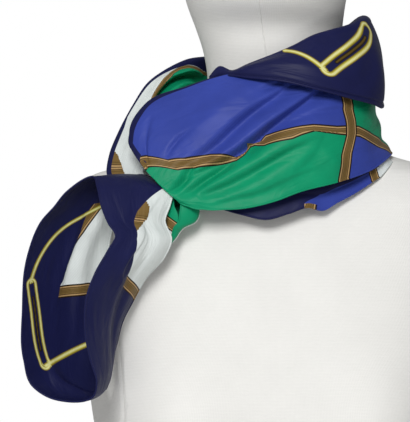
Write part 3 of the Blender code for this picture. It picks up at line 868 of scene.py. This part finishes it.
def underPrint(u, v, length, wide):
    u = u * length / underWrap["printLength"]
    length = underWrap["printLength"]
    low, rise = underWrap["printRows"]
    x = silkPrint["panel"] + (u - underWrap["upright"]) * length
    y = low + v * rise
    border = (v - readTable(underWrap["border"], u)) * wide
    cover = np.maximum(border, (underWrap["borderTo"] - u) * length)
    cover = np.where(u > underWrap["whiteFrom"], np.minimum(cover, -1), cover)
    middle, lean, half, top = underWrap["patch"]
    patch = np.where(v < top, abs((u - middle) * length - lean * v * wide) / half, 9)
    return x * mm, y * mm, {"coverField": cover, "strapField": patch}


underPiece, underEdges = makeCloth("underWrap", woundCloth(underWrap), underPrint, wrapHems)
print("under wrap ready")

shoulderStrip = {
    "steps": (230, 56, 10, 32),
    "leafSide": 1,
    "sections": (
        ((17.5, 89, 361), (15.5, 76, 448), 5, 2, 0.5),
        ((-20, 88, 362), (-16, 77, 450), 4, 3, 16),
        ((-50, 74, 371), (-39, 63, 450), 1, 3, 34),
        ((-66, 48, 386), (-56, 40, 449), 0, 3, 38),
        ((-70, 22, 394), (-71, 22, 446), 0, 3, 35),
        ((-77, 2, 396), (-88, 8, 438), 0, 3, 33),
        ((-86, -16, 388), (-103, -3, 427), 0, 3, 31),
        ((-92, -32, 378), (-116, -14, 408), 0, 3, 27),
        ((-98, -44, 368), (-127, -27, 387), 0, 3, 22),
        ((-102, -52, 361), (-134, -42, 368), 0, 2.5, 15),
        ((-106, -58, 353), (-135, -57, 352), 0, 2, 4),
        ((-100, -68, 346), (-127, -68, 345), 0, 1, 1),
        ((-88, -76, 340), (-106, -80, 342), 0, 0.6, 0.5),
    ),
    "printLength": 241.6,  # mm along the stretch that its print table spans
    "folds": (
        (((0.03, 0.30), (0.17, 0.43), (0.36, 0.41)), 3.0, 8.0, 8.0),
        (
            (
                (0.34, 0.80), (0.40, 0.84), (0.44, 0.88), (0.50, 0.89), (0.536, 0.85), (0.569, 0.79),
                (0.61, 0.68),
            ),
            6.0, 2.0, 3.0,
        ),
        (
            (
                (0.34, 0.70), (0.40, 0.76), (0.44, 0.79), (0.50, 0.80), (0.536, 0.76), (0.569, 0.70),
                (0.60, 0.62), (0.64, 0.50),
            ),
            -9.0, 2.6, 2.0,
        ),
        (
            ((0.36, 0.56), (0.42, 0.64), (0.48, 0.68), (0.53, 0.64), (0.57, 0.56), (0.60, 0.44)),
            11.0, 2.2, 8.0,
        ),
        (((0.70, 0.75), (0.80, 0.60), (0.92, 0.50)), 1.2, 5.0, 5.0),
    ),
    # u, height v of the strap's middle, its half width in v
    "strap": (
        (0.00, 0.84, 0.05),
        (0.395, 0.83, 0.026),
        (0.455, 0.905, 0.026),
        (0.500, 0.955, 0.028),
        (0.536, 0.975, 0.03),
        (0.5725, 0.955, 0.032),
        (0.610, 0.895, 0.042),
        (0.647, 0.810, 0.050),
        (0.685, 0.735, 0.055),
        (0.712, 0.650, 0.06),
        (0.76, 0.45, 0.07),
        (0.85, 0.00, 0.08),
        (1.00, -0.60, 0.08),
    ),
    # u, and the v where the navy border starts
    "border": (
        (0.0, 0.85),
        (0.38, 0.85),
        (0.402, 0.866),
        (0.455, 0.938),
        (0.498, 0.985),
        (0.55, 1.005),
        (0.60, 1.02),
        (0.80, 1.02),
        (0.835, 0.97),
        (0.888, 0.95),
        (0.93, 0.94),
        (1.0, 0.94),
        (1.1, 1.02),
    ),
    # u, and the v where a piece of strap shows on the white
    "patch": (
        (0.90, 1.2),
        (0.915, 0.95),
        (0.922, 0.85),
        (0.968, 0.62),
        (1.0, 0.55),
        (1.03, 0.60),
        (1.06, 1.2),
    ),
    "patchAt": 0.972,  # u of its middle line
    "printFrom": -320,  # mm on the square at the strip's start, and the mm that it runs from there
    "printRun": 120,
    "printHeight": 150,
}


def patchField(line):
    # strap field of a piece of strap, line mm from its middle: dark there, a pale line each side
    return np.clip(0.86 - abs(line) * 0.16, 0.12, 1)


def stripPrint(u, v, length, wide):
    u = u * length / shoulderStrip["printLength"]
    length = shoulderStrip["printLength"]
    middle, half = (readTable(shoulderStrip["strap"], u, i) for i in (1, 2))
    high = shoulderStrip["printHeight"]
    y = silkPrint["panel"] + np.clip((v - middle) / half * silkPrint["strapHalf"], -high, high)
    x = shoulderStrip["printFrom"] + shoulderStrip["printRun"] * u
    cover = (v - readTable(shoulderStrip["border"], u)) * wide
    patch = patchField((u - shoulderStrip["patchAt"]) * length)
    patch = np.where(v > readTable(shoulderStrip["patch"], u), patch, 9)
    return x * mm, y * mm, {"coverField": cover, "strapField": patch}


stripHems = [{"line": highEdge, "radius": 0.9}]
stripPiece, stripEdges = makeCloth(
    "shoulderStrip", woundCloth(shoulderStrip), stripPrint, stripHems, flip=True
)
print("shoulder strip ready")

tailLoop = {
    "steps": (440, 60),
    # near edge, far edge, bulge
    "sections": (
        ((-144, -98, 348.5), (-91, -84, 344), 2),
        ((-154, -97, 345.5), (-104, -68, 350), 3),
        ((-164, -98, 338), (-112, -60, 350), 4),
        ((-175, -99, 325), (-122, -59, 331), 5),
        ((-186, -100, 312), (-130, -62, 310), 6),
        ((-196, -101, 285), (-135, -63, 284), 6),
        ((-199.5, -101, 245), (-137, -63, 243), 6),
        ((-198.5, -102, 206), (-139, -65, 207), 6),
        ((-191, -106, 185), (-140, -67, 189), 4),
        ((-177, -112, 176.5), (-138, -70, 182), 3),
        ((-156, -120, 174), (-135, -74, 182), 3),
        ((-144, -128, 178), (-132, -78, 191), 4),
        ((-140.5, -133, 190), (-130, -81, 204), 5),
        ((-145, -136, 207), (-126, -83, 220), 5),
        ((-149, -138, 227), (-122, -85, 235), 5),
        ((-149, -138, 250), (-115, -88, 249), 5),
        ((-142, -137, 273), (-103, -91, 270), 5),
        ((-132, -133, 291), (-89, -96, 286), 5),
        ((-126, -128, 303), (-83.5, -99, 300), 4),
        ((-132, -124, 313), (-88.5, -98, 314), 3),
        ((-137, -118, 325), (-84.5, -96, 327), 3),
        ((-141, -108, 341), (-83, -91, 339), 2),
    ),
    "folds": (
        (((0.10, 0.86), (0.22, 0.72), (0.38, 0.70)), 5.0, 8.0, 6.0),
        (((0.12, 0.56), (0.20, 0.58), (0.34, 0.42)), 1.6, 1.2, 6.0),
        (((0.55, 0.62), (0.70, 0.66), (0.93, 0.55)), 3.0, 6.0, 6.0),
        (((0.74, 0.62), (0.83, 0.34), (0.97, 0.92)), -1.5, 1.2, 6.0),
        (((0.42, 0.30), (0.47, 0.50), (0.52, 0.80)), 4.0, 5.0, 7.0),
    ),
    # u, and the v below which the navy border lies over the print
    "border": (
        (0.000, 1.20),
        (0.104, 1.10),
        (0.115, 0.62),
        (0.174, 0.635),
        (0.200, 0.60),
        (0.266, 0.52),
        (0.277, 0.485),
        (0.303, 0.465),
        (0.340, 0.40),
        (0.700, 0.60),
        (0.727, 0.62),
        (0.760, 0.59),
        (0.795, 0.51),
        (0.835, 0.38),
        (0.862, 0.325),
        (0.886, 0.375),
        (0.919, 0.50),
        (0.949, 0.71),
        (0.978, 0.94),
        (1.000, 1.20),
    ),
    # the strap down the panel's side: u and the v of its middle
    "strap": (
        (0.0, 0.80),
        (0.119, 0.70),
        (0.174, 0.595),
        (0.20, 0.53),
        (0.23, 0.44),
        (0.4, 0.2),
        (0.7, 0.1),
        (1.0, 0.1),
    ),
    # u, and the v below which a piece of strap shows on the white of the front
    "patch": (
        (0.861, 0.0),
        (0.866, 0.25),
        (0.876, 0.38),
        (0.887, 0.51),
        (0.896, 0.60),
        (0.902, 0.67),
        (0.910, 0.69),
        (0.918, 0.695),
        (0.927, 0.685),
        (0.935, 0.655),
        (0.941, 0.61),
        (0.946, 0.53),
        (0.950, 0.0),
    ),
    "patchAt": 0.898,  # u of its middle line
    "frontFrom": 0.5,  # u past which the front shows
    "frontRows": (260, -60),  # mm on the square at its near edge, and from there to its far edge
    "innerReach": (200, 440),  # mm on the square that the inside keeps within
    "innerLine": ((0.48, 0.290), (0.79, 0.283)),  # v, and the u where the strap crosses the inside
    "frontLine": (0.8115, -0.07),  # u at the near edge where it crosses the front, and its lean
    "bars": (((0.12, 0.75), (0.27, 0.1), -9, 2.0), ((0.43, 0.3), (0.39, 0.85), 0, 2.3)),
    "links": (((0.35, 0.2), (35, 4), 12, 1.6),),
}


def loopPrint(u, v, length, wide):
    edge = silkPrint["borderFrom"]
    cover = (readTable(tailLoop["border"], u) - v) * wide
    sideways = np.clip(edge - (v - readTable(tailLoop["strap"], u)) * wide, *tailLoop["innerReach"])
    near, across = tailLoop["frontRows"]
    sideways = np.where(u > tailLoop["frontFrom"], near + across * v, sideways)
    start, lean = tailLoop["frontLine"]
    inner = u - readTable(tailLoop["innerLine"], v)
    down = edge + np.minimum(inner, start + lean * v - u) * length
    patch = patchField((u - tailLoop["patchAt"] + 0.02 * (v - 0.6)) * length)
    patch = np.where(v < readTable(tailLoop["patch"], u), patch, 9)
    fields = {"coverField": cover, "strapField": patch, **giltFields(tailLoop, u, v, length, wide)}
    return sideways * mm, down * mm, fields


loopHems = [{"line": line, "radius": 0.8, "closed": True} for line in (lowEdge, highEdge)]
loopPiece, loopEdges = makeCloth("tailLoop", loopCloth(tailLoop), loopPrint, loopHems, closed=True)
print("tail loop ready")

tailCurl = {
    "steps": (56, 150),
    # z, left, right, depth, y, angle at which the cloth starts
    "sections": (
        (338, -85, -66, 13, -82, 232),
        (331, -86.5, -63, 16, -84, 236),
        (326, -87, -61.5, 17, -86, 238),
        (321, -88, -61.5, 17, -87, 252),
        (316.5, -88, -62.5, 15, -88, 259),
        (312.5, -87.5, -66, 12, -89, 260),
        (309.4, -87, -73, 10, -90, 258),
        (306, -86.5, -76.5, 7, -90, 256),
        (302, -86, -79, 5, -90, 256),
        (297, -84.5, -83, 3, -90, 256),
    ),
    "end": -97,
    "lap": 1.6,  # mm that the outer leaf stands in front of the inner one
    # the strap on its front leaf: x and z of a point on its middle, its normal, mm of print per mm
    "strapMiddle": (-83.0, 311.0),
    "strapNormal": (0.6, 0.8),
    "strapStretch": 1.19,
    "green": 12,  # mm past the strap that the rest of the print stands at
    "printAt": -260,
}


def curlPrint(u, v, length, wide):
    points = curlSurface[0]
    middle, normal = tailCurl["strapMiddle"], tailCurl["strapNormal"]
    across = (points[..., 0] - middle[0]) * normal[0] + (points[..., 2] - middle[1]) * normal[1]
    across = np.where(u < 0.5, across * tailCurl["strapStretch"], tailCurl["green"])
    return tailCurl["printAt"] * mm, (silkPrint["panel"] - across) * mm, {}


curlSurface = scrollCloth(tailCurl)
outerTurn = (np.arange(tailCurl["steps"][0]), curlSurface[0][..., 0].argmax(axis=1))
curlHems = [
    {"line": highEdge, "radius": 0.7},
    {"line": outerTurn, "radius": 0.8, "place": (-0.2625, 0.2625)},  # printed white: a painted highlight along the rolled outer edge
]
curlPiece, curlEdges = makeCloth("tailCurl", curlSurface, curlPrint, curlHems)
print("tail curl ready")

knot = {
    "steps": (112, 48),
    "middle": (-76, -76, 344),
    "reach": (11.5, 11.5, 9.5),
    "folds": 7,
    "foldDepth": 0.07,
    "borderFrom": -78,  # x below which the navy border lies on top
}


def makeKnot():
    # a ball stretched to reach, drawn in by fold depth cos(folds angle) sin(height)
    around, up = knot["steps"]
    angle = np.linspace(0, 2 * np.pi, around + 1)[:, None]
    height = np.linspace(0.02, np.pi - 0.02, up)[None, :]
    swell = 1 + knot["foldDepth"] * np.cos(knot["folds"] * angle + 1.2 * height) * np.sin(height)
    girth = np.sin(height) * swell
    ball = np.stack([np.cos(angle) * girth, np.sin(angle) * girth, np.cos(height) + 0 * angle], axis=2)
    points = np.array(knot["middle"]) + ball[:-1] * knot["reach"]
    u = angle[:-1] / (2 * np.pi) + 0 * height
    v = height / np.pi + 0 * u
    cloth = np.stack([-0.3 + 0.1 * u, 0.1 + 0.05 * v], axis=2)
    maps = {"cloth": cloth, "weave": np.stack([u * 0.07, v * 0.03], axis=2)}
    values = {key: level + 0 * u for key, level in blankFields.items()}
    values["coverField"] = np.where(points[..., 0] < knot["borderFrom"], 9.0, -9.0)
    faces = gridFaces(around, up, closed=True, flip=True).tolist()
    ring = np.arange(around)
    faces += [(ring * up).tolist(), (ring * up + up - 1)[::-1].tolist()]
    return placePiece("knot", makeMesh("knot", points, faces, maps, values), silk)


knotPiece = makeKnot()
print("knot ready")

stretches = (
    # piece, edges, CAD node, flat size, held, rests on
    (wrapPiece, wrapEdges, "neck_wrap", (0.42, 0.115), "draped", ["formBody"]),
    (flapPiece, flapEdges, "collar_flap", (0.32, 0.06), "folded", ["neckWrap"]),
    (underPiece, underEdges, "under_wrap", (0.19, 0.028), "draped", ["formBody"]),
    (stripPiece, stripEdges, "shoulder_strip", (0.25, 0.10), "draped", ["formBody"]),
    (loopPiece, loopEdges, "tail_loop", (0.43, 0.066), "hung", ["knot"]),
    (curlPiece, curlEdges, "tail_curl", (0.045, 0.041), "hung", ["knot"]),
)
for piece, edges, node, flat, held, rests in stretches:
    finishPiece(piece, [node])
    for edge in edges:
        finishPiece(edge, [])
finishPiece(knotPiece, ["knot"])


stage = {
    "floorRadius": 1.5,
    "cameraPlace": (-0.057, -2.5, 0.322),
    "lens": 261.7,
    "world": 0.25,  # light from all round, behind a white backdrop
}


def makeStage():
    bpy.ops.mesh.primitive_circle_add(vertices=96, radius=stage["floorRadius"], fill_type="NGON")
    floor = bpy.context.object
    floor.name = "floor"
    material, shader = newMaterial("paleFloor")[::2]
    shader.inputs["Base Color"].default_value = linearColour("f2f2f2")
    shader.inputs["Roughness"].default_value = 0.8
    floor.data.materials.append(material)

    world = bpy.data.worlds.new("studio")
    bpy.context.scene.world = world
    world.use_nodes = True
    background = world.node_tree.nodes["Background"]
    background.inputs["Color"].default_value = (1, 1, 1, 1)
    seen = addNode(world.node_tree, "ShaderNodeLightPath").outputs["Is Camera Ray"]
    glow = addNode(world.node_tree, "ShaderNodeMapRange", {0: seen, 3: stage["world"], 4: 1.0})
    world.node_tree.links.new(glow.outputs[0], background.inputs["Strength"])

    lamps = (
        # name, place, size, watts
        ("keyLamp", (-0.42, -2.2, 1.5), 0.9, 46),
        ("fillLamp", (1.2, -2.2, 0.8), 1.0, 1.5),
    )
    for name, place, size, watts in lamps:
        lamp = bpy.data.lights.new(name, "AREA")
        lamp.energy, lamp.size = watts, size
        light = bpy.data.objects.new(name, lamp)
        light.location = place
        aim = -np.array(place) + (-0.05, 0, 0.3)
        tilt = np.arctan2(np.hypot(aim[0], aim[1]), -aim[2])
        light.rotation_euler = (tilt, 0, np.arctan2(aim[1], aim[0]) - np.pi / 2)
        bpy.context.scene.collection.objects.link(light)

    camera = bpy.data.objects.new("camera", bpy.data.cameras.new("camera"))
    camera.location = stage["cameraPlace"]
    camera.rotation_euler = (np.pi / 2, 0, 0)
    camera.data.lens = stage["lens"]
    camera.data.sensor_width = 36
    bpy.context.scene.collection.objects.link(camera)
    bpy.context.scene.camera = camera
    bpy.context.scene.view_settings.view_transform = "Standard"


makeStage()
print("stage ready")
